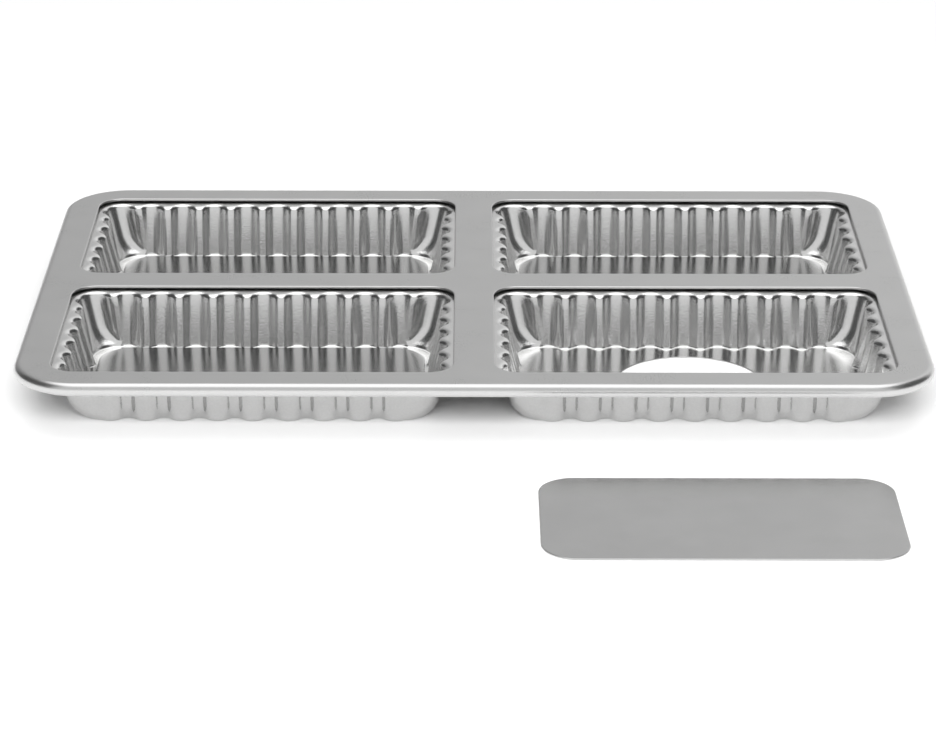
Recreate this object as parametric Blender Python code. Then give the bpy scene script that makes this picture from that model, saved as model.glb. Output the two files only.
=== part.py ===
"""Four-cup fluted tart pan with loose bottoms, built from its separate pieces.

A frame plate with its edge curled round a wire holds four fluted cups. Each cup is a drawn
sheet whose flange is folded into the edge of the plate's opening as a double seam. A flat
loose bottom rests on the ring that is left of each cup's floor round its push-up hole. The
front right cup's bottom lies on the table in front of the pan.

Metres, +Z up, -Y is the front. z = 0 is the table. The origin is the middle of the set's
footprint, pan and laid-out bottom together.
"""
import bmesh
import bpy
from math import atan2, cos, hypot, pi, radians, sin, sqrt

# Stock, and the clearance that neighbouring pieces keep
SHEET = 0.00035
BOTTOM_SHEET = 0.0006
WIRE_RADIUS = 0.0020
GAP = 0.0003

# Frame plate
PAN_LENGTH = 0.360
PAN_DEPTH = 0.240
PAN_HEIGHT = 0.024
PAN_CORNER = 0.027
RIM_RADIUS = 0.0028
RIM_WRAP = 270.0
RIM_MARGIN = 0.0146
CUP_WEB = 0.0164
SEAM_CORNER = 0.010
SEAM_REACH = 0.004
LIP_RADIUS = 0.0005
HOOK_END = 0.0013  # where the cup's folded flange ends, outside the seam line

# Cups: flutes are wide arcs bulging outwards, ridges are the narrow arcs between them
COLLAR_WIDTH = 0.0024
DRAFT_INSET = 0.0049
TOP_CORNER = 0.0072
FOOT_CORNER = 0.0112
FOOT_CORNER_INSET = 0.0012
CORNER_BEND_START = 0.60  # share of the wall's height, from the collar down
CORNER_BEND_MIDDLE = 0.82
CORNER_BEND_DEPTH = 0.9  # how far round its ball the corner has turned at the foot
FLUTE_DEPTH = 0.0033
RIDGE_RADIUS = 0.0034
LONG_FLUTES = 9
LONG_PITCH = 0.0140
SHORT_FLUTES = 5
SHORT_PITCH = 0.0131
TOP_BEND_RADIUS = 0.0022
FOOT_BEND = 0.0010
HOLE_RADIUS = 0.0294

# Loose bottoms
BOTTOM_LENGTH = 0.1334
BOTTOM_DEPTH = 0.0738
BOTTOM_CORNER = 0.0135
LAID_OUT_X = 0.0906
LAID_OUT_Y = -0.1918

# Facets
FLUTE_STEPS = 4
LOBE_STEPS = 6
RIDGE_STEPS = 2
CORNER_STEPS = 4
PAN_CORNER_STEPS = 6
FOLD_STEPS = 4
TOP_BEND_STEPS = 2
RIM_STEPS = 9
WIRE_SIDES = 8
HOLE_STEPS = 28

# Worked out from the above
SET_FRONT = LAID_OUT_Y - BOTTOM_DEPTH / 2
PAN_CENTRE_Y = -(SET_FRONT + PAN_DEPTH / 2) / 2
CUP_X = (PAN_LENGTH / 2 - RIM_MARGIN + CUP_WEB / 2) / 2
CUP_Y = (PAN_DEPTH / 2 - RIM_MARGIN + CUP_WEB / 2) / 2
SEAM_HALF_X = CUP_X - CUP_WEB / 2
SEAM_HALF_Y = CUP_Y - CUP_WEB / 2
FOLD_RADIUS = (3 * SHEET + 2 * GAP) / 2
COLLAR_TOP = PAN_HEIGHT - 3 * (SHEET + GAP)
FOOT_TOP = SHEET + FOOT_BEND
DRAFT = atan2(DRAFT_INSET, COLLAR_TOP - FOOT_TOP)
WALL_TOP = COLLAR_TOP - TOP_BEND_RADIUS * (1 - sin(DRAFT))
BEND_TRIM = SHEET * (sqrt(2) - 1)
BOTTOM_REST = SHEET + GAP

CUP_PLACES = {
    "rear_left": (-CUP_X, CUP_Y),
    "rear_right": (CUP_X, CUP_Y),
    "front_left": (-CUP_X, -CUP_Y),
    "front_right": (CUP_X, -CUP_Y),
}
LAID_OUT_CUP = "front_right"


def clear_scene():
    for obj in list(bpy.data.objects):
        bpy.data.objects.remove(obj, do_unlink=True)


def metal(name, colour, roughness):
    """A bare metal finish."""
    material = bpy.data.materials.new(name)
    material.use_nodes = True
    shader = material.node_tree.nodes["Principled BSDF"]
    shader.inputs["Base Color"].default_value = (*colour, 1.0)
    shader.inputs["Metallic"].default_value = 1.0
    shader.inputs["Roughness"].default_value = roughness
    return material


def arc_points(centre, radius, start, end, steps):
    """Points of an arc from angle start to angle end, in radians, ends included."""
    angles = [start + (end - start) * i / steps for i in range(steps + 1)]
    return [(centre[0] + radius * cos(a), centre[1] + radius * sin(a)) for a in angles]


def rounded_rectangle(half_x, half_y, radius, steps):
    """Outline with round corners, anticlockwise, starting at the +X end of the +X +Y corner."""
    outline = []
    for quarter, (sx, sy) in enumerate([(1, 1), (-1, 1), (-1, -1), (1, -1)]):
        centre = (sx * (half_x - radius), sy * (half_y - radius))
        start = quarter * pi / 2
        outline += arc_points(centre, radius, start, start + pi / 2, steps)
    return outline


def flute_radius(pitch):
    """Radius of the flute arcs that meet ridge arcs tangentially at this pitch."""
    half = pitch / 2
    return (half * half + FLUTE_DEPTH * FLUTE_DEPTH) / (2 * FLUTE_DEPTH) - RIDGE_RADIUS


def bulge_circles(half_x, half_y, corner, corner_inset):
    """Outward arcs, anticlockwise, as (x, y, radius, facets): a corner, then a side's flutes.

    The flutes touch a rectangle of the given half sizes, the corners one that is inset from it.
    """
    long_radius = flute_radius(LONG_PITCH)
    short_radius = flute_radius(SHORT_PITCH)
    along_x = [(i - (LONG_FLUTES - 1) / 2) * LONG_PITCH for i in range(LONG_FLUTES)]
    along_y = [(i - (SHORT_FLUTES - 1) / 2) * SHORT_PITCH for i in range(SHORT_FLUTES)]
    corner_x = half_x - corner_inset - corner
    corner_y = half_y - corner_inset - corner
    circles = []
    for side in (1, -1):
        circles.append((side * corner_x, side * corner_y, corner, LOBE_STEPS))
        y = side * (half_y - long_radius)
        circles += [(-side * x, y, long_radius, FLUTE_STEPS) for x in along_x]
        circles.append((-side * corner_x, side * corner_y, corner, LOBE_STEPS))
        x = side * (short_radius - half_x)
        circles += [(x, -side * y, short_radius, FLUTE_STEPS) for y in along_y]
    return circles


def ridge_centre(first, second):
    """Centre of the ridge arc that touches two neighbouring outward arcs from outside them."""
    dx, dy = second[0] - first[0], second[1] - first[1]
    apart = hypot(dx, dy)
    reach_first = first[2] + RIDGE_RADIUS
    reach_second = second[2] + RIDGE_RADIUS
    along = (apart * apart + reach_first**2 - reach_second**2) / (2 * apart)
    out = sqrt(reach_first**2 - along**2)
    return (first[0] + (dx * along + dy * out) / apart, first[1] + (dy * along - dx * out) / apart)


def direction(centre, point):
    return atan2(point[1] - centre[1], point[0] - centre[0])


def fluted_outline(circles, spread, thicken):
    """Anticlockwise outline of arcs, each touching the ridge arcs beside it.

    spread grows the outward arcs, so the ridges fade. thicken then moves every arc outwards.
    """
    circles = [(x, y, radius + spread, facets) for x, y, radius, facets in circles]
    count = len(circles)
    ridges = [ridge_centre(circles[i], circles[(i + 1) % count]) for i in range(count)]
    outline = []
    for i, circle in enumerate(circles):
        before, after, following = ridges[i - 1], ridges[i], circles[(i + 1) % count]
        start = direction(circle, before)
        sweep = (direction(circle, after) - start) % (2 * pi)
        outline += arc_points(circle, circle[2] + thicken, start, start + sweep, circle[3])
        start = direction(after, circle)
        sweep = (start - direction(after, following)) % (2 * pi)
        ridge = arc_points(after, RIDGE_RADIUS - thicken, start, start - sweep, RIDGE_STEPS)
        outline += ridge[1:-1]
    return outline


def add_loop(mesh, outline, z):
    return [mesh.verts.new((x, y, z)) for x, y in outline]


def join_loops(mesh, loops):
    """Skin neighbouring loops that have the same number of points."""
    for lower, upper in zip(loops, loops[1:]):
        for i in range(len(lower)):
            j = (i + 1) % len(lower)
            mesh.faces.new((lower[i], lower[j], upper[j], upper[i]))


def fill_flat(mesh, outer, holes):
    """Fill the flat region between an outer loop and the loops of its holes."""
    edges = []
    for loop in [outer, *holes]:
        for i, vert in enumerate(loop):
            following = loop[(i + 1) % len(loop)]
            edge = mesh.edges.get((vert, following)) or mesh.edges.new((vert, following))
            edges.append(edge)
    bmesh.ops.triangle_fill(mesh, edges=edges, use_beauty=True, normal=(0, 0, 1))


def add_object(name, mesh, material, location, parent):
    """Close the mesh's making: outward faces, smooth bends, and a place in the scene."""
    bmesh.ops.recalc_face_normals(mesh, faces=mesh.faces)
    data = bpy.data.meshes.new(name)
    mesh.to_mesh(data)
    mesh.free()
    data.materials.append(material)
    data.shade_smooth()
    data.set_sharp_from_angle(angle=radians(50))
    return place_object(name, data, location, parent)


def place_object(name, data, location, parent):
    obj = bpy.data.objects.new(name, data)
    bpy.context.collection.objects.link(obj)
    obj.parent = parent
    obj.location = location
    return obj


def seam_loops(mesh, centre, section):
    """Loops round one opening. A section point is (distance outside the seam line, height)."""
    loops = []
    for out, z in section:
        outline = rounded_rectangle(SEAM_HALF_X + out, SEAM_HALF_Y + out, SEAM_CORNER + out, CORNER_STEPS)
        loops.append(add_loop(mesh, [(centre[0] + x, centre[1] + y) for x, y in outline], z))
    return loops


def plate_fold_section():
    """The plate's edge: a small round lip, a slope down and outwards, and a flat lower layer."""
    centre = (LIP_RADIUS, PAN_HEIGHT - LIP_RADIUS)
    outside = arc_points(centre, LIP_RADIUS, pi / 2, 5 * pi / 4, FOLD_STEPS)
    inside = arc_points(centre, LIP_RADIUS - SHEET, 5 * pi / 4, pi / 2, FOLD_STEPS)
    low = PAN_HEIGHT - 2 * FOLD_RADIUS
    slope_end = outside[-1][0] + outside[-1][1] - low
    return [
        *outside,
        (slope_end, low),
        (SEAM_REACH, low),
        (SEAM_REACH, low + SHEET),
        (slope_end + BEND_TRIM, low + SHEET),
        *inside,
    ]


def cup_flange_section():
    """The cup's flange: out under the plate's lower layer, up, and back in above that layer."""
    centre = (SEAM_REACH, COLLAR_TOP + FOLD_RADIUS - SHEET)
    inside = arc_points(centre, FOLD_RADIUS - SHEET, -pi / 2, pi / 2, FOLD_STEPS)
    outside = arc_points(centre, FOLD_RADIUS, pi / 2, -pi / 2, FOLD_STEPS)
    end_low = PAN_HEIGHT - 2 * SHEET - GAP
    return [*inside, (HOOK_END, end_low), (HOOK_END, end_low + SHEET), *outside]


def rim_loop(mesh, radius, angle):
    """Loop round the pan at an angle about the rim's centre line, 0 pointing outwards."""
    out = radius * cos(angle) - RIM_RADIUS
    outline = rounded_rectangle(
        PAN_LENGTH / 2 + out, PAN_DEPTH / 2 + out, PAN_CORNER + out, PAN_CORNER_STEPS)
    return add_loop(mesh, outline, PAN_HEIGHT - RIM_RADIUS + radius * sin(angle))


def make_frame_plate(parent):
    """Sheet with four openings, each edge folded under, and an outer edge curled downwards."""
    mesh = bmesh.new()
    wrap = radians(RIM_WRAP)
    angles = [pi / 2 - wrap * i / RIM_STEPS for i in range(RIM_STEPS + 1)]
    curl = [rim_loop(mesh, RIM_RADIUS, angle) for angle in angles]
    curl += [rim_loop(mesh, RIM_RADIUS - SHEET, angle) for angle in reversed(angles)]
    join_loops(mesh, curl)
    folds = [seam_loops(mesh, place, plate_fold_section()) for place in CUP_PLACES.values()]
    for fold in folds:
        join_loops(mesh, fold)
    fill_flat(mesh, curl[0], [fold[0] for fold in folds])
    fill_flat(mesh, curl[-1], [fold[-1] for fold in folds])
    material = metal("frame_plate", (0.62, 0.62, 0.61), 0.34)
    add_object("frame_plate", mesh, material, (0, 0, 0), parent)


def make_rim_wire(parent):
    """Closed ring of round wire inside the curled edge."""
    mesh = bmesh.new()
    angles = [2 * pi * i / WIRE_SIDES for i in range(WIRE_SIDES)]
    loops = [rim_loop(mesh, WIRE_RADIUS, angle) for angle in angles]
    join_loops(mesh, [*loops, loops[0]])
    add_object("rim_wire", mesh, metal("rim_wire", (0.45, 0.45, 0.46), 0.45), (0, 0, 0), parent)


def height_at(drop):
    """Height a given share of the way down from the collar to the foot."""
    return COLLAR_TOP - (COLLAR_TOP - FOOT_TOP) * drop


def wall_circles(z, inset=0.0):
    """The wall's outward arcs at one height. The wall leans in, its corners curve in like a ball."""
    drop = min((COLLAR_TOP - z) / (COLLAR_TOP - FOOT_TOP), 1.0)
    turn = CORNER_BEND_DEPTH * max(0.0, (drop - CORNER_BEND_START) / (1 - CORNER_BEND_START))
    turned = (1 - sqrt(1 - turn**2)) / (1 - sqrt(1 - CORNER_BEND_DEPTH**2))
    lean = COLLAR_WIDTH + DRAFT_INSET * drop + inset
    corner = TOP_CORNER + (FOOT_CORNER - TOP_CORNER) * turned
    return bulge_circles(SEAM_HALF_X - lean, SEAM_HALF_Y - lean, corner, FOOT_CORNER_INSET * turned)


def wall_loop(mesh, z, thicken=0.0, inset=0.0):
    return add_loop(mesh, fluted_outline(wall_circles(z, inset), 0, thicken), z)


def top_bend_loops(mesh, thicken):
    """Loops from the top of the wall, bending outwards over the ridges and flutes to the collar."""
    loops = []
    for i in range(TOP_BEND_STEPS + 1):
        tilt = DRAFT + (pi / 2 - DRAFT) * i / TOP_BEND_STEPS
        spread = TOP_BEND_RADIUS * (cos(DRAFT) - cos(tilt))
        outline = fluted_outline(wall_circles(WALL_TOP), spread, thicken * cos(tilt))
        z = COLLAR_TOP - TOP_BEND_RADIUS * (1 - sin(tilt)) - thicken * sin(tilt)
        loops.append(add_loop(mesh, outline, z))
    return loops


def make_cup_mesh():
    """One fluted cup: floor ring, bent foot, wall, flat collar and folded flange."""
    mesh = bmesh.new()
    hole = arc_points((0, 0), HOLE_RADIUS, 0, 2 * pi, HOLE_STEPS)[:-1]
    hole_top = add_loop(mesh, hole, SHEET)
    hole_bottom = add_loop(mesh, hole, 0)
    inner = [
        wall_loop(mesh, SHEET, 0, FOOT_BEND),
        wall_loop(mesh, FOOT_TOP),
        wall_loop(mesh, height_at(CORNER_BEND_MIDDLE)),
        *top_bend_loops(mesh, 0),
    ]
    flange = seam_loops(mesh, (0, 0), cup_flange_section())
    outer = [
        *reversed(top_bend_loops(mesh, SHEET)),
        wall_loop(mesh, height_at(CORNER_BEND_MIDDLE) - BEND_TRIM, SHEET),
        wall_loop(mesh, FOOT_TOP - BEND_TRIM, SHEET),
        wall_loop(mesh, 0, 0, FOOT_BEND - BEND_TRIM),
    ]
    join_loops(mesh, inner)
    join_loops(mesh, flange)
    join_loops(mesh, outer)
    join_loops(mesh, [hole_bottom, hole_top])
    fill_flat(mesh, inner[0], [hole_top])
    fill_flat(mesh, flange[0], [inner[-1]])
    fill_flat(mesh, flange[-1], [outer[0]])
    fill_flat(mesh, outer[-1], [hole_bottom])
    return mesh


def make_cups(parent):
    """Four cups from one pressing, each with its own name and finish."""
    for place, (x, y) in CUP_PLACES.items():
        name = "cup_" + place
        add_object(name, make_cup_mesh(), metal(name, (0.70, 0.70, 0.69), 0.27), (x, y, 0), parent)


def make_loose_bottoms(parent):
    """Flat sheets with round corners. Each one's origin is on the line it lifts along."""
    for place, (x, y) in CUP_PLACES.items():
        name = "loose_bottom_" + place
        z = BOTTOM_REST
        if place == LAID_OUT_CUP:
            x, y, z = LAID_OUT_X, LAID_OUT_Y, 0
        mesh = bmesh.new()
        outline = rounded_rectangle(BOTTOM_LENGTH / 2, BOTTOM_DEPTH / 2, BOTTOM_CORNER, PAN_CORNER_STEPS)
        mesh.faces.new(add_loop(mesh, outline, 0))
        obj = add_object(name, mesh, metal(name, (0.55, 0.55, 0.54), 0.42), (x, y, z), parent)
        thickness = obj.modifiers.new("sheet", "SOLIDIFY")
        thickness.thickness = BOTTOM_SHEET
        thickness.offset = 1.0


def main():
    clear_scene()
    pan_centre = place_object("pan_centre", None, (0, PAN_CENTRE_Y, 0), None)
    make_frame_plate(pan_centre)
    make_rim_wire(pan_centre)
    make_cups(pan_centre)
    make_loose_bottoms(pan_centre)


main()
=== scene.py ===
"""The looks of a four-cup fluted tart pan with loose bottoms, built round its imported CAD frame.

Metres, +Z up, -Y is the front. Sizes and places come from the frame's boxes. What a box cannot
say, such as the sheet's thickness and the shape of a flute, repeats the CAD model's design.
"""
from math import atan2, cos, hypot, pi, radians, sin, sqrt

import bmesh
import bpy
import numpy as np
from mathutils import Matrix, Vector


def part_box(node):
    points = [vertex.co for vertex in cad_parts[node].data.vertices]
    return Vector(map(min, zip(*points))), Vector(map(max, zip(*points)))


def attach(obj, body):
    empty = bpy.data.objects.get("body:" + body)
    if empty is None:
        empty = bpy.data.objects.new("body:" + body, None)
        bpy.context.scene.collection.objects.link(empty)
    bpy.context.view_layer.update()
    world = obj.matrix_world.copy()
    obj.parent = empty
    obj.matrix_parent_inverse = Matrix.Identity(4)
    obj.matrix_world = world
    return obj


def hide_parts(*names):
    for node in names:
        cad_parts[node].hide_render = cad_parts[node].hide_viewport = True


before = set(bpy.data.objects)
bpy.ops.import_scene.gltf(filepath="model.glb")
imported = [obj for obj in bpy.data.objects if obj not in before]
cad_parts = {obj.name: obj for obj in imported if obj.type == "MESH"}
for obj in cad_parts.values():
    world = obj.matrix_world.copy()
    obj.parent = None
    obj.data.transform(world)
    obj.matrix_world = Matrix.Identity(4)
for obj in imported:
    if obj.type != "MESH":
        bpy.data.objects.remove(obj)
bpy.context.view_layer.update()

PLACES = ("rear_left", "rear_right", "front_left", "front_right")

# Stock and seam, as in the CAD model
SHEET = 0.00035
GAP = 0.0003
WIRE_RADIUS = 0.0020
RIM_RADIUS = 0.0028
RIM_WRAP = radians(270)
PAN_CORNER = 0.027
SEAM_CORNER = 0.010
SEAM_REACH = 0.004
LIP_RADIUS = 0.0005
HOOK_END = 0.0013
FOLD_RADIUS = (3 * SHEET + 2 * GAP) / 2

# Cups
COLLAR_WIDTH = 0.0024
DRAFT_INSET = 0.0049
TOP_CORNER = 0.0072
FOOT_CORNER = 0.0112
FOOT_CORNER_INSET = 0.0012
CORNER_BEND_START = 0.60  # share of the wall's height, from the collar down
CORNER_BEND_DEPTH = 0.9
FLUTE_DEPTH = 0.0033
RIDGE_RADIUS = 0.0034
LONG_FLUTES = 9
LONG_PITCH = 0.0140
SHORT_FLUTES = 5
SHORT_PITCH = 0.0131
FOOT_BEND = 0.0010
FOOT_FILLET = 0.0010
TOP_FILLET = 0.0022
HOLE_RADIUS = 0.0294
BOTTOM_CORNER = 0.0135
SHEARED_EDGE = 0.00012

# Rounded rectangle halfway over a cup's floor, where the rows turn from flutes into a circle
FLOOR_INSET = 0.0150
FLOOR_CORNER = 0.008

# Facets of the fine surface
FLUTE_STEPS = 10
RIDGE_STEPS = 8
LOBE_STEPS = 24
CORNER_STEPS = 24
FOOT_STEPS = 6
TOP_STEPS = 10
FOLD_STEPS = 12
RIM_STEPS = 36
WIRE_STEPS = 20

# Heights of the wall's rows, as shares of the way up from the foot
WALL_SHARES = (0.03, 0.06, 0.1, 0.14, 0.18, 0.22, 0.27, 0.32, 0.38, 0.6, 0.8)

# From the frame
plate_low, plate_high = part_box("frame_plate")
PAN_CENTRE = (plate_low + plate_high) / 2
PAN_HALF_X = (plate_high.x - plate_low.x) / 2
PAN_HALF_Y = (plate_high.y - plate_low.y) / 2
PAN_HEIGHT = plate_high.z
cup_low, cup_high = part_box("cup_rear_left")
SEAM_HALF_X = (cup_high.x - cup_low.x) / 2 - SEAM_REACH - FOLD_RADIUS
SEAM_HALF_Y = (cup_high.y - cup_low.y) / 2 - SEAM_REACH - FOLD_RADIUS
COLLAR_TOP = PAN_HEIGHT - 3 * (SHEET + GAP)
FOOT_TOP = SHEET + FOOT_BEND
LEAN = DRAFT_INSET / (COLLAR_TOP - FOOT_TOP)
DRAFT = atan2(LEAN, 1)


def arc_points(centre, radius, start, end, steps, first=0):
    """Points of an arc from angle start to angle end, from the point numbered first on."""
    angles = [start + (end - start) * i / steps for i in range(first, steps + 1)]
    return [(centre[0] + radius * cos(a), centre[1] + radius * sin(a)) for a in angles]


def rounded_rectangle(half_x, half_y, radius, steps):
    """Outline with round corners, anticlockwise, starting at the +X end of the +X +Y corner."""
    outline = []
    for quarter, (sx, sy) in enumerate([(1, 1), (-1, 1), (-1, -1), (1, -1)]):
        centre = (sx * (half_x - radius), sy * (half_y - radius))
        start = quarter * pi / 2
        outline += arc_points(centre, radius, start, start + pi / 2, steps)
    return np.array(outline)


def flute_radius(pitch):
    """Radius of the flute arcs that meet ridge arcs tangentially at this pitch."""
    half = pitch / 2
    return (half * half + FLUTE_DEPTH * FLUTE_DEPTH) / (2 * FLUTE_DEPTH) - RIDGE_RADIUS


def bulge_circles(half_x, half_y, corner, corner_inset):
    """Outward arcs, anticlockwise, as (x, y, radius, facets): a corner, then a side's flutes.

    The flutes touch a rectangle of the given half sizes, the corners one that is inset from it.
    """
    long_radius = flute_radius(LONG_PITCH)
    short_radius = flute_radius(SHORT_PITCH)
    along_x = [(i - (LONG_FLUTES - 1) / 2) * LONG_PITCH for i in range(LONG_FLUTES)]
    along_y = [(i - (SHORT_FLUTES - 1) / 2) * SHORT_PITCH for i in range(SHORT_FLUTES)]
    corner_x = half_x - corner_inset - corner
    corner_y = half_y - corner_inset - corner
    circles = []
    for side in (1, -1):
        circles.append((side * corner_x, side * corner_y, corner, LOBE_STEPS))
        y = side * (half_y - long_radius)
        circles += [(-side * x, y, long_radius, FLUTE_STEPS) for x in along_x]
        circles.append((-side * corner_x, side * corner_y, corner, LOBE_STEPS))
        x = side * (short_radius - half_x)
        circles += [(x, -side * y, short_radius, FLUTE_STEPS) for y in along_y]
    return circles


def ridge_centre(first, second):
    """Centre of the ridge arc that touches two neighbouring outward arcs from outside them."""
    dx, dy = second[0] - first[0], second[1] - first[1]
    apart = hypot(dx, dy)
    reach_first = first[2] + RIDGE_RADIUS
    reach_second = second[2] + RIDGE_RADIUS
    along = (apart * apart + reach_first**2 - reach_second**2) / (2 * apart)
    out = sqrt(reach_first**2 - along**2)
    return (first[0] + (dx * along + dy * out) / apart, first[1] + (dy * along - dx * out) / apart)


def direction(centre, point):
    return atan2(point[1] - centre[1], point[0] - centre[0])


def fluted_outline(circles, spread, thicken):
    """Anticlockwise outline of arcs, each touching the ridge arcs beside it.

    spread grows the outward arcs, so the ridges fade. thicken then moves every arc outwards.
    """
    circles = [(x, y, radius + spread, facets) for x, y, radius, facets in circles]
    count = len(circles)
    ridges = [ridge_centre(circles[i], circles[(i + 1) % count]) for i in range(count)]
    outline = []
    for i, circle in enumerate(circles):
        before, after, following = ridges[i - 1], ridges[i], circles[(i + 1) % count]
        start = direction(circle, before)
        sweep = (direction(circle, after) - start) % (2 * pi)
        outline += arc_points(circle, circle[2] + thicken, start, start + sweep, circle[3])
        start = direction(after, circle)
        sweep = (start - direction(after, following)) % (2 * pi)
        ridge = arc_points(after, RIDGE_RADIUS - thicken, start, start - sweep, RIDGE_STEPS, 1)
        outline += ridge[:-1]
    return np.array(outline)


def wall_outline(z, thicken=0.0, spread=0.0):
    """The fluted wall's inner outline where it passes height z."""
    drop = (COLLAR_TOP - z) / (COLLAR_TOP - FOOT_TOP)
    inset = COLLAR_WIDTH + DRAFT_INSET * drop
    turn = CORNER_BEND_DEPTH * min(max((drop - CORNER_BEND_START) / (1 - CORNER_BEND_START), 0.0), 1.0)
    turned = (1 - sqrt(1 - turn**2)) / (1 - sqrt(1 - CORNER_BEND_DEPTH**2))
    corner = TOP_CORNER + (FOOT_CORNER - TOP_CORNER) * turned
    circles = bulge_circles(
        SEAM_HALF_X - inset, SEAM_HALF_Y - inset, corner, FOOT_CORNER_INSET * turned)
    return fluted_outline(circles, spread, thicken)


def onto_rectangle(outline, half_x, half_y, radius):
    """Each point of an outline moved square on to a round-cornered rectangle inside or outside it."""
    core = np.array([half_x - radius, half_y - radius])
    nearest = np.clip(outline, -core, core)
    away = outline - nearest
    return nearest + radius * away / np.linalg.norm(away, axis=1)[:, None]


def onto_circle(outline, radius):
    return radius * outline / np.linalg.norm(outline, axis=1)[:, None]


def at_height(outline, z):
    return np.column_stack([outline, np.full(len(outline), z)])


def ring_faces(rows, count, wrap):
    """Quads between neighbouring rows of count points, and from the last row to the first."""
    i = np.arange(count)
    j = (i + 1) % count
    faces = []
    for row in range(rows if wrap else rows - 1):
        a, b = row * count, ((row + 1) % rows) * count
        faces.append(np.column_stack([a + i, a + j, b + j, b + i]))
    return np.concatenate(faces)


def finished_object(name, data, material):
    """Faces made to point outwards and shaded smooth, with a material of its own."""
    mesh = bmesh.new()
    mesh.from_mesh(data)
    bmesh.ops.recalc_face_normals(mesh, faces=mesh.faces)
    mesh.to_mesh(data)
    mesh.free()
    data.shade_smooth()
    data.materials.append(material)
    obj = bpy.data.objects.new(name, data)
    bpy.context.scene.collection.objects.link(obj)
    return obj


def swept_object(name, rows, place, material, outside=None, outside_row=0):
    """A closed skin through rows of points, the last joined to the first.

    From row outside_row on it has the outside material, if there is one: a darker copy of the metal,
    painted shade on the outer skin."""
    points = np.concatenate(rows) + np.array([place[0], place[1], 0.0])
    data = bpy.data.meshes.new(name)
    data.from_pydata(points, [], ring_faces(len(rows), len(rows[0]), True))
    swept = finished_object(name, data, material)
    if outside:
        data.materials.append(outside)
        for face in data.polygons[outside_row * len(rows[0]):]:
            face.material_index = 1
    return swept


def stand_for(piece, node, body):
    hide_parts(node)
    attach(piece, body)


# ---------------------------------------------------------------- cup

def hole_edge(z_from, z_to):
    """Section of the push-up hole's sheared edge, as (distance outside the hole, height)."""
    soft = SHEARED_EDGE
    up = 1 if z_to > z_from else -1
    first = [(soft - soft * sin(a), z_from + up * soft * (1 - cos(a))) for a in (0, pi / 4, pi / 2)]
    last = [(soft - soft * cos(a), z_to - up * soft * (1 - sin(a))) for a in (0, pi / 4, pi / 2)]
    return first + last


def top_fillet_rows(wall_top, thicken):
    """Rows from the top of the wall, bending outwards over the ridges and flutes to the collar."""
    rows = []
    for i in range(TOP_STEPS + 1):
        tilt = DRAFT + (pi / 2 - DRAFT) * i / TOP_STEPS
        outline = wall_outline(wall_top, thicken * cos(tilt), TOP_FILLET * (cos(DRAFT) - cos(tilt)))
        z = COLLAR_TOP - TOP_FILLET * (1 - sin(tilt)) - thicken * sin(tilt)
        rows.append(at_height(outline, z))
    return rows


def floor_rows(edge, middle, z):
    """Flat floor ring, from just outside the hole by way of a middle outline to the foot."""
    return [
        at_height(onto_circle(middle, HOLE_RADIUS + 4 * SHEARED_EDGE), z),
        at_height(onto_circle(middle, HOLE_RADIUS * 1.08), z),
        at_height(middle, z),
        at_height((edge * 3 + middle) / 4, z),
    ]


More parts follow.
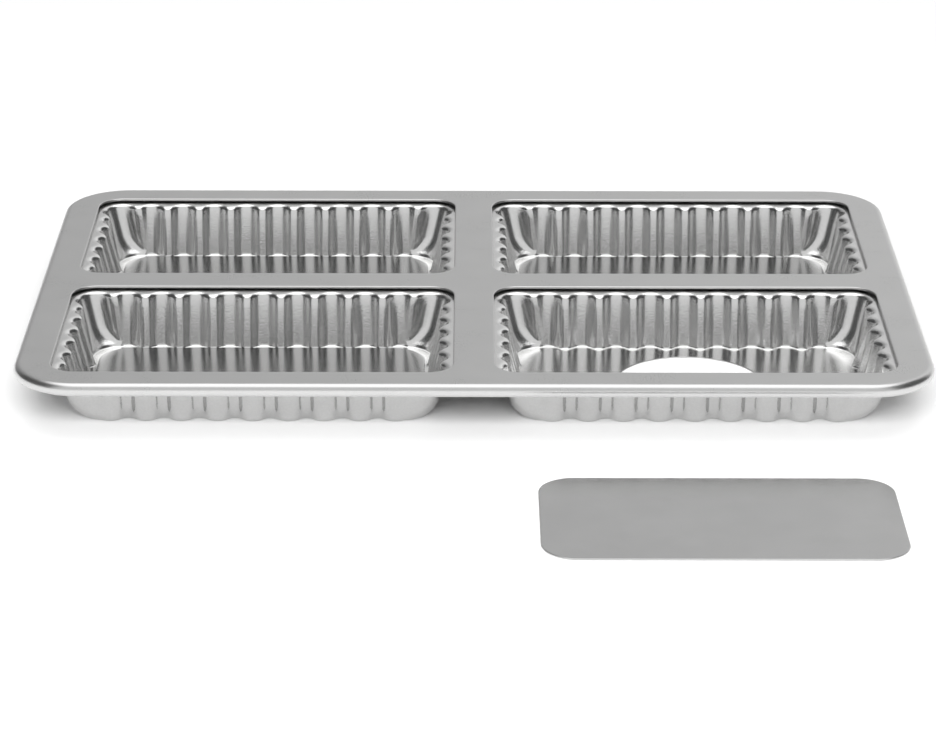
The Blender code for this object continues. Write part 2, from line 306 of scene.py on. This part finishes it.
def cup_rows():
    """Rows of one cup's skin, and the number of the row where the outside starts.

    They run up the inside from the hole, over the flange and down the outside."""
    foot_z = SHEET + FOOT_FILLET * (1 - sin(DRAFT))
    foot_run = FOOT_FILLET * cos(DRAFT)
    top_z = COLLAR_TOP - TOP_FILLET * (1 - sin(DRAFT))
    inner_edge = wall_outline(foot_z, -foot_run)
    middle = onto_rectangle(
        inner_edge, SEAM_HALF_X - FLOOR_INSET, SEAM_HALF_Y - FLOOR_INSET, FLOOR_CORNER)

    # inside: floor, foot fillet, wall, top fillet
    rows = floor_rows(inner_edge, middle, SHEET)
    for i in range(FOOT_STEPS + 1):
        angle = -pi / 2 + (pi / 2 - DRAFT) * i / FOOT_STEPS
        out = FOOT_FILLET * cos(angle) - foot_run
        rows.append(at_height(wall_outline(foot_z, out), SHEET + FOOT_FILLET * (1 + sin(angle))))
    for share in WALL_SHARES:
        z = foot_z + (top_z - foot_z) * share
        rows.append(at_height(wall_outline(z), z))
    rows += top_fillet_rows(top_z, 0.0)

    # flange
    collar_edge = wall_outline(top_z, 0.0, TOP_FILLET * cos(DRAFT))
    seam = onto_rectangle(collar_edge, SEAM_HALF_X, SEAM_HALF_Y, SEAM_CORNER)
    rows.append(at_height(collar_edge * 0.75 + seam * 0.25, COLLAR_TOP))
    centre = (SEAM_REACH, COLLAR_TOP + FOLD_RADIUS - SHEET)
    end_low = PAN_HEIGHT - 2 * SHEET - GAP
    section = [(0.0, COLLAR_TOP), (SEAM_REACH / 2, COLLAR_TOP)]
    section += arc_points(centre, FOLD_RADIUS - SHEET, -pi / 2, pi / 2, FOLD_STEPS)
    section += [(HOOK_END, end_low), (HOOK_END, end_low + SHEET)]
    section += arc_points(centre, FOLD_RADIUS, pi / 2, -pi / 2, FOLD_STEPS)
    section += [(SEAM_REACH / 2, COLLAR_TOP - SHEET), (0.0, COLLAR_TOP - SHEET)]
    for out, z in section:
        outline = onto_rectangle(
            collar_edge, SEAM_HALF_X + out, SEAM_HALF_Y + out, SEAM_CORNER + out)
        rows.append(at_height(outline, z))

    # outside: top fillet, wall, foot fillet, underside
    outside_row = len(rows)
    rows.append(at_height(collar_edge * 0.75 + seam * 0.25, COLLAR_TOP - SHEET))
    rows += reversed(top_fillet_rows(top_z, SHEET))
    out = SHEET * cos(DRAFT)
    drop = SHEET * sin(DRAFT)
    for share in reversed(WALL_SHARES):
        z = foot_z + (top_z - foot_z) * share
        rows.append(at_height(wall_outline(z, out), z - drop))
    for i in range(FOOT_STEPS + 1):
        angle = -DRAFT - (pi / 2 - DRAFT) * i / FOOT_STEPS
        out = (FOOT_FILLET + SHEET) * cos(angle) - foot_run
        z = SHEET + FOOT_FILLET + (FOOT_FILLET + SHEET) * sin(angle)
        rows.append(at_height(wall_outline(foot_z, out), z))
    rows += reversed(floor_rows(inner_edge, middle, 0.0))

    # the hole's edge, back up to the first row
    circle = onto_circle(middle, 1.0)
    for out, z in hole_edge(0.0, SHEET):
        rows.append(at_height(circle * (HOLE_RADIUS + out), z))
    return rows, outside_row


# ---------------------------------------------------------------- frame plate, wire, bottoms

def add_loop(mesh, outline, z, centre):
    return [mesh.verts.new((centre[0] + x, centre[1] + y, z)) for x, y in outline]


def join_loops(mesh, loops):
    for lower, upper in zip(loops, loops[1:]):
        for i in range(len(lower)):
            j = (i + 1) % len(lower)
            mesh.faces.new((lower[i], lower[j], upper[j], upper[i]))


def fill_flat(mesh, outer, holes):
    """Fill the flat region between an outer loop and the loops of its holes."""
    edges = []
    for loop in [outer, *holes]:
        for i, vert in enumerate(loop):
            following = loop[(i + 1) % len(loop)]
            edges.append(mesh.edges.get((vert, following)))
    bmesh.ops.triangle_fill(mesh, edges=edges, use_beauty=True, normal=(0, 0, 1))


def rim_outline(out):
    return rounded_rectangle(PAN_HALF_X + out, PAN_HALF_Y + out, PAN_CORNER + out, CORNER_STEPS)


def make_plate(material):
    mesh = bmesh.new()
    centre_z = PAN_HEIGHT - RIM_RADIUS
    angles = [pi / 2 - RIM_WRAP * i / RIM_STEPS for i in range(RIM_STEPS + 1)]
    section = [(-2.5 * RIM_RADIUS, PAN_HEIGHT), (-1.5 * RIM_RADIUS, PAN_HEIGHT)]
    section += [(RIM_RADIUS * cos(a) - RIM_RADIUS, centre_z + RIM_RADIUS * sin(a)) for a in angles]
    inside = RIM_RADIUS - SHEET
    section += [(inside * cos(a) - RIM_RADIUS, centre_z + inside * sin(a)) for a in reversed(angles)]
    section += [(-1.5 * RIM_RADIUS, PAN_HEIGHT - SHEET), (-2.5 * RIM_RADIUS, PAN_HEIGHT - SHEET)]
    curl = [add_loop(mesh, rim_outline(out), z, PAN_CENTRE) for out, z in section]
    join_loops(mesh, curl)
    centre = (LIP_RADIUS, PAN_HEIGHT - LIP_RADIUS)
    low = PAN_HEIGHT - 2 * FOLD_RADIUS
    lip = arc_points(centre, LIP_RADIUS, pi / 2, 5 * pi / 4, FOLD_STEPS)
    slope_end = sum(lip[-1]) - low
    fold = [(4 * LIP_RADIUS, PAN_HEIGHT), (2 * LIP_RADIUS, PAN_HEIGHT), *lip, (slope_end, low)]
    fold += [(SEAM_REACH, low), (SEAM_REACH, low + SHEET)]
    fold += [(slope_end + SHEET * (sqrt(2) - 1), low + SHEET)]
    fold += arc_points(centre, LIP_RADIUS - SHEET, 5 * pi / 4, pi / 2, FOLD_STEPS)
    fold += [(2 * LIP_RADIUS, PAN_HEIGHT - SHEET), (4 * LIP_RADIUS, PAN_HEIGHT - SHEET)]
    seams = []
    for place in PLACES:
        low_corner, high_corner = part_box("cup_" + place)
        cup_centre = (low_corner + high_corner) / 2
        loops = []
        for out, z in fold:
            outline = rounded_rectangle(
                SEAM_HALF_X + out, SEAM_HALF_Y + out, SEAM_CORNER + out, CORNER_STEPS)
            loops.append(add_loop(mesh, outline, z, cup_centre))
        join_loops(mesh, loops)
        seams.append(loops)
    fill_flat(mesh, curl[0], [loops[0] for loops in seams])
    fill_flat(mesh, curl[-1], [loops[-1] for loops in seams])
    data = bpy.data.meshes.new("plate")
    mesh.to_mesh(data)
    mesh.free()
    data.set_sharp_from_angle(angle=radians(60))
    plate = finished_object("plate", data, material)
    stand_for(plate, "frame_plate", "pan")


def make_wire(material):
    rows = []
    for i in range(WIRE_STEPS):
        angle = 2 * pi * i / WIRE_STEPS
        outline = rim_outline(WIRE_RADIUS * cos(angle) - RIM_RADIUS)
        rows.append(at_height(outline, PAN_HEIGHT - RIM_RADIUS + WIRE_RADIUS * sin(angle)))
    wire = swept_object("wire", rows, PAN_CENTRE, material)
    stand_for(wire, "rim_wire", "pan")


def make_cups(material, outside):
    rows, outside_row = cup_rows()
    for place in PLACES:
        low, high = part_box("cup_" + place)
        cup = swept_object(
            "cup_shell_" + place, rows, (low + high) / 2, material, outside, outside_row)
        stand_for(cup, "cup_" + place, "pan")


def make_bottoms(material):
    for place in PLACES:
        low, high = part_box("loose_bottom_" + place)
        centre = (low + high) / 2
        half = (high - low) / 2
        mesh = bmesh.new()
        soft = 2 * SHEARED_EDGE
        lower = arc_points((-soft, low.z + soft), soft, -pi / 2, 0, 4)
        upper = arc_points((-soft, high.z - soft), soft, 0, pi / 2, 4)
        section = [(-4 * soft, low.z), *lower, *upper, (-4 * soft, high.z)]
        loops = []
        for out, z in section:
            outline = rounded_rectangle(
                half.x + out, half.y + out, BOTTOM_CORNER + out, CORNER_STEPS)
            loops.append(add_loop(mesh, outline, z, centre))
        join_loops(mesh, loops)
        mesh.faces.new(loops[0])
        mesh.faces.new(loops[-1])
        data = bpy.data.meshes.new("bottom_sheet_" + place)
        mesh.to_mesh(data)
        mesh.free()
        bottom = finished_object("bottom_sheet_" + place, data, material)
        stand_for(bottom, "loose_bottom_" + place, "bottom_" + place)


# ---------------------------------------------------------------- materials

def link(tree, source, output, target, socket):
    tree.links.new(source.outputs[output], target.inputs[socket])


def noise(tree, coordinates, scale, detail, stretch=(1, 1, 1)):
    """Noise at features per metre. stretch scales the coordinates along each axis."""
    mapping = tree.nodes.new("ShaderNodeMapping")
    mapping.inputs["Scale"].default_value = stretch
    tree.links.new(coordinates, mapping.inputs["Vector"])
    node = tree.nodes.new("ShaderNodeTexNoise")
    node.inputs["Scale"].default_value = scale
    node.inputs["Detail"].default_value = detail
    link(tree, mapping, "Vector", node, "Vector")
    return node.outputs["Fac"]


def remap(tree, value, low, high, from_low=0.3, from_high=0.7):
    node = tree.nodes.new("ShaderNodeMapRange")
    node.inputs["From Min"].default_value = from_low
    node.inputs["From Max"].default_value = from_high
    node.inputs["To Min"].default_value = low
    node.inputs["To Max"].default_value = high
    tree.links.new(value, node.inputs["Value"])
    return node.outputs["Result"]


def metal(name, shade, roughness, grain, grain_height, wave_height, stretch=(1, 1, 1)):
    """Bare tinned sheet: shade and roughness are (low, high), grain is the grain's size in metres.

    Fine grain and slow waves bend the surface, cloudy patches vary its shade and polish."""
    material = bpy.data.materials.new(name)
    material.use_nodes = True
    tree = material.node_tree
    shader = tree.nodes["Principled BSDF"]
    shader.inputs["Metallic"].default_value = 1.0
    coordinates = tree.nodes.new("ShaderNodeTexCoord").outputs["Object"]
    cloud = noise(tree, coordinates, 45, 3)
    fine = noise(tree, coordinates, 1 / grain, 2, stretch)
    waves = noise(tree, coordinates, 28, 1)
    mix = tree.nodes.new("ShaderNodeMath")
    mix.operation = "ADD"
    tree.links.new(remap(tree, cloud, -0.5, 0.5), mix.inputs[0])
    tree.links.new(remap(tree, fine, -0.5, 0.5), mix.inputs[1])
    tone = tree.nodes.new("ShaderNodeCombineColor")
    value = remap(tree, mix.outputs["Value"], shade[0], shade[1], -1, 1)
    for channel, tint in (("Red", 1.0), ("Green", 1.0), ("Blue", 0.995)):
        tinted = tree.nodes.new("ShaderNodeMath")
        tinted.operation = "MULTIPLY"
        tinted.inputs[1].default_value = tint
        tree.links.new(value, tinted.inputs[0])
        link(tree, tinted, "Value", tone, channel)
    link(tree, tone, "Color", shader, "Base Color")
    tree.links.new(
        remap(tree, mix.outputs["Value"], roughness[0], roughness[1], -1, 1),
        shader.inputs["Roughness"])
    wave_bump = tree.nodes.new("ShaderNodeBump")
    wave_bump.inputs["Strength"].default_value = 1.0
    wave_bump.inputs["Distance"].default_value = wave_height
    tree.links.new(waves, wave_bump.inputs["Height"])
    grain_bump = tree.nodes.new("ShaderNodeBump")
    grain_bump.inputs["Strength"].default_value = 1.0
    grain_bump.inputs["Distance"].default_value = grain_height
    tree.links.new(fine, grain_bump.inputs["Height"])
    link(tree, wave_bump, "Normal", grain_bump, "Normal")
    link(tree, grain_bump, "Normal", shader, "Normal")
    return material


# ---------------------------------------------------------------- stage

CAMERA_PITCH = radians(21.36)
CAMERA_ROLL = radians(0.10)
CAMERA_OFFSET = Vector((-0.0024, -1.3514, 0.5104))
CAMERA_LENS = 132.7


def make_camera():
    """A long lens in front of the pan, its place given from the pan's centre on the table."""
    data = bpy.data.cameras.new("camera")
    data.lens = CAMERA_LENS
    data.sensor_width = 36
    camera = bpy.data.objects.new("camera", data)
    bpy.context.scene.collection.objects.link(camera)
    place = Vector((PAN_CENTRE.x, PAN_CENTRE.y, 0)) + CAMERA_OFFSET
    turn = Matrix.Rotation(pi / 2 - CAMERA_PITCH, 4, "X") @ Matrix.Rotation(CAMERA_ROLL, 4, "Z")
    camera.matrix_world = Matrix.Translation(place) @ turn
    bpy.context.scene.camera = camera


def make_floor():
    """A plain pale table."""
    data = bpy.data.meshes.new("floor")
    reach, drop = 8.0, -0.0001
    data.from_pydata(
        [(-reach, -reach, drop), (reach, -reach, drop), (reach, reach, drop), (-reach, reach, drop)],
        [], [(0, 1, 2, 3)])
    material = bpy.data.materials.new("floor")
    material.use_nodes = True
    shader = material.node_tree.nodes["Principled BSDF"]
    shader.inputs["Base Color"].default_value = (0.88, 0.88, 0.88, 1)
    shader.inputs["Roughness"].default_value = 0.6
    shader.inputs["Specular IOR Level"].default_value = 0.2
    data.materials.append(material)
    floor = bpy.data.objects.new("floor", data)
    bpy.context.scene.collection.objects.link(floor)


def ramp(tree, value, low, high):
    """0 below low, 1 above high, smooth between."""
    node = tree.nodes.new("ShaderNodeMapRange")
    node.interpolation_type = "SMOOTHSTEP"
    node.inputs["From Min"].default_value = low
    node.inputs["From Max"].default_value = high
    tree.links.new(value, node.inputs["Value"])
    return node.outputs["Result"]


def calculate(tree, operation, first, second):
    node = tree.nodes.new("ShaderNodeMath")
    node.operation = operation
    for socket, value in zip(node.inputs, (first, second)):
        if isinstance(value, bpy.types.NodeSocket):
            tree.links.new(value, socket)
        else:
            socket.default_value = value
    return node.outputs["Value"]


def blend(tree, share, low, high):
    """low where share is 0, high where it is 1."""
    node = tree.nodes.new("ShaderNodeMix")
    tree.links.new(share, node.inputs["Factor"])
    for socket, value in ((node.inputs["A"], low), (node.inputs["B"], high)):
        if isinstance(value, bpy.types.NodeSocket):
            tree.links.new(value, socket)
        else:
            socket.default_value = value
    return node.outputs["Result"]


OVERHEAD = 1.8
FRONT = 0.78
REAR = 0.62
REAR_SLANT = 0.55
SIDES = 0.08
TABLE_LAMP_POWER = 92
TABLE_LAMP_PLACE = Vector((0, -2.2, 1.5))
TABLE_LAMP_SIZE = (2.4, 1.0)


def make_lights():
    """A soft studio: bright overhead, pale in front and behind, dark at the sides.

    A broad lamp in front lights the table right up to the foot of the pan."""
    world = bpy.data.worlds.new("studio")
    bpy.context.scene.world = world
    world.use_nodes = True
    tree = world.node_tree
    axes = tree.nodes.new("ShaderNodeSeparateXYZ")
    coordinates = tree.nodes.new("ShaderNodeTexCoord")
    link(tree, coordinates, "Generated", axes, "Vector")
    x, y, z = (axes.outputs[axis] for axis in "XYZ")
    flat = calculate(tree, "SQRT", calculate(
        tree, "SUBTRACT", 1.0001, calculate(tree, "MULTIPLY", z, z)), 0)
    behind = calculate(tree, "DIVIDE", y, flat)
    ahead = calculate(tree, "MULTIPLY", behind, -1)
    rear = calculate(tree, "ADD", calculate(tree, "MULTIPLY", x, REAR_SLANT), REAR)
    light = blend(tree, ramp(tree, behind, 0.45, 0.75), SIDES, rear)
    light = blend(tree, ramp(tree, ahead, 0.60, 0.78), light, FRONT)
    light = blend(tree, ramp(tree, z, 0.80, 0.92), light, OVERHEAD)
    tree.links.new(light, tree.nodes["Background"].inputs["Strength"])
    tree.nodes["Background"].inputs["Color"].default_value = (1, 1, 1, 1)
    bpy.context.scene.view_settings.view_transform = "Standard"
    data = bpy.data.lights.new("table_lamp", "AREA")
    data.shape = "RECTANGLE"
    data.size, data.size_y = TABLE_LAMP_SIZE
    data.energy = TABLE_LAMP_POWER
    lamp = bpy.data.objects.new("table_lamp", data)
    lamp.location = TABLE_LAMP_PLACE
    lamp.rotation_euler = (-TABLE_LAMP_PLACE).to_track_quat("-Z", "Y").to_euler()
    lamp.visible_glossy = False
    bpy.context.scene.collection.objects.link(lamp)


make_camera()
make_floor()
make_lights()
plate_metal = metal("plate_metal", (0.60, 0.66), (0.26, 0.34), 0.0005, 0.00001, 0.0001)
cup_metal = metal("cup_metal", (0.74, 0.82), (0.17, 0.23), 0.0007, 0.00004, 0.00003)
# The cups' outer skin is the same sheet as their inside, given a darker shade as painted shade; its
# lower roughness is not painted.
shaded_outside_metal = metal("shaded_outside_metal", (0.54, 0.62), (0.10, 0.15), 0.0009, 0.00002, 0.00003)
loose_metal = metal("loose_metal", (0.54, 0.60), (0.17, 0.24), 0.0004, 0.000008, 0.00006)
wire_metal = metal("wire_metal", (0.42, 0.50), (0.35, 0.50), 0.0006, 0.00002, 0.0001)
make_plate(plate_metal)
make_wire(wire_metal)
make_cups(cup_metal, shaded_outside_metal)
make_bottoms(loose_metal)
